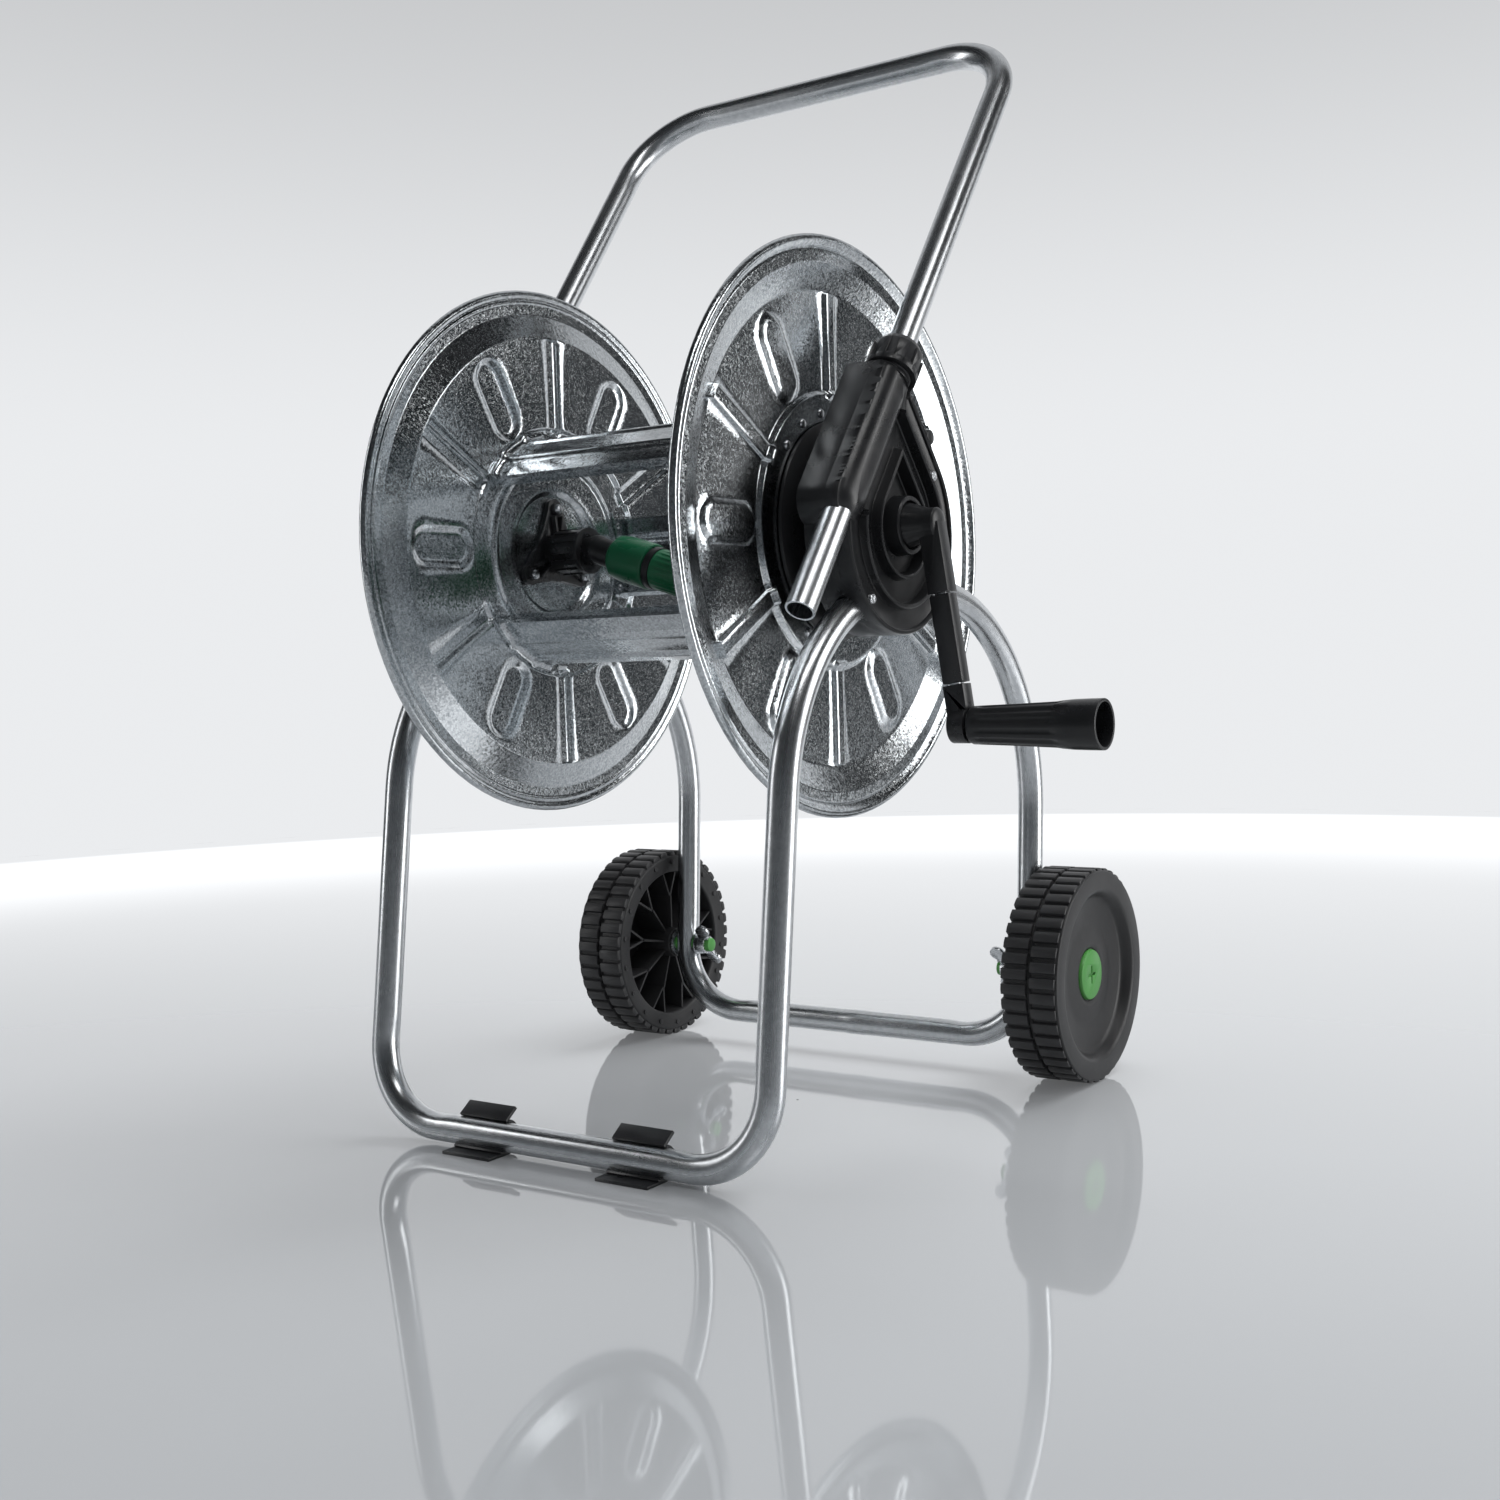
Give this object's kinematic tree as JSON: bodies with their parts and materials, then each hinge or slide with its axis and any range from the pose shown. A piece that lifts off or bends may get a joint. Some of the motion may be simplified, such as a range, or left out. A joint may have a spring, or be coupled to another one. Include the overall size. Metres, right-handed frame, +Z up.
{
  "type": "garden hose reel cart",
  "caption": "Wheeled garden hose reel cart: tube frame, dished steel reel with crank, sliding push handle, swivelling hose connector and water inlet.",
  "frame": {"origin": "middle of the bounding box, on the ground", "axes": "+Z up, +X along the reel's axle to the crank side, +Y back towards the wheels and the push handle's top"},
  "size_m": [0.5532, 0.4943, 0.811],
  "materials": {
    "zinc_tube": "satin zinc plate",
    "galvanised_sheet": "galvanised spangle, semi gloss",
    "steel_bar": "bright drawn",
    "steel_fasteners": "bright zinc",
    "black_plastic": "satin moulded",
    "grey_plastic": "satin moulded",
    "wheel_plastic": "satin moulded",
    "green_plastic": "satin moulded",
    "light_green_plastic": "satin moulded",
    "seal_rubber": "matt"
  },
  "bodies": {
    "cart": {"frame_tube": "zinc_tube", "foot_clips": "black_plastic", "housing_inner_right": "black_plastic", "housing_outer_right": "black_plastic", "housing_inner_left": "black_plastic", "housing_outer_left": "black_plastic", "housing_screws": "steel_fasteners", "clamp_sleeves": "grey_plastic", "wheel_bolts": "light_green_plastic", "wheel_washers": "steel_fasteners", "wing_nuts": "steel_fasteners"},
    "handle": {"handle_tube": "zinc_tube"},
    "collar_right": {"collar_nut_right": "black_plastic"},
    "collar_left": {"collar_nut_left": "black_plastic"},
    "reel": {"disc_right": "galvanised_sheet", "disc_left": "galvanised_sheet", "drum_channel_front": "galvanised_sheet", "drum_channel_low": "galvanised_sheet", "drum_channel_rear": "galvanised_sheet", "drum_rivets": "steel_fasteners", "bearing_flange_right": "black_plastic", "bearing_flange_left": "black_plastic", "drive_shaft": "steel_bar", "disc_plug": "black_plastic", "water_flange": "black_plastic", "flange_screws": "steel_fasteners", "coupling_nut": "black_plastic", "spigot": "black_plastic", "crank_hub": "black_plastic", "crank_bar": "steel_bar", "crank_sleeve": "black_plastic", "crank_knuckle": "black_plastic", "grip_axle": "steel_bar"},
    "connector": {"quick_connector": "green_plastic", "connector_ring": "black_plastic", "hose_nut": "green_plastic"},
    "grip": {"crank_grip": "black_plastic"},
    "wheel_right": {"wheel_right": "wheel_plastic"},
    "wheel_left": {"wheel_left": "wheel_plastic"},
    "inlet": {"inlet_elbow": "black_plastic", "inlet_seals": "seal_rubber"}
  },
  "joints": [
    {"name": "handle_slide", "type": "slide", "parent": "cart", "child": "handle", "axis": [0, 0.6032, 0.7976], "range_m": [-0.2, 0.05]},
    {"name": "collar_right_turn", "type": "hinge", "parent": "cart", "child": "collar_right", "pos_m": [0.12651, -0.0483, 0.53278], "axis": [0, 0.6032, 0.7976], "range_deg": [-60, 60]},
    {"name": "collar_left_turn", "type": "hinge", "parent": "cart", "child": "collar_left", "pos_m": [-0.22249, -0.0483, 0.53278], "axis": [0, 0.6032, 0.7976], "range_deg": [-60, 60]},
    {"name": "reel_spin", "type": "hinge", "parent": "cart", "child": "reel", "pos_m": [-0.04799, -0.05235, 0.423], "axis": [1, 0, 0], "continuous": true},
    {"name": "connector_swivel", "type": "hinge", "parent": "reel", "child": "connector", "pos_m": [-0.1048, -0.05235, 0.41423], "axis": [0.9563, 0, -0.2924], "continuous": true},
    {"name": "grip_spin", "type": "hinge", "parent": "reel", "child": "grip", "pos_m": [0.22159, -0.05235, 0.287], "axis": [1, 0, 0], "continuous": true},
    {"name": "wheel_right_spin", "type": "hinge", "parent": "cart", "child": "wheel_right", "pos_m": [0.12001, 0.1585, 0.0835], "axis": [1, 0, 0], "continuous": true},
    {"name": "wheel_left_spin", "type": "hinge", "parent": "cart", "child": "wheel_left", "pos_m": [-0.21599, 0.1585, 0.0835], "axis": [1, 0, 0], "continuous": true},
    {"name": "inlet_swivel", "type": "hinge", "parent": "cart", "child": "inlet", "pos_m": [-0.23599, -0.05235, 0.423], "axis": [1, 0, 0], "continuous": true}
  ]
}
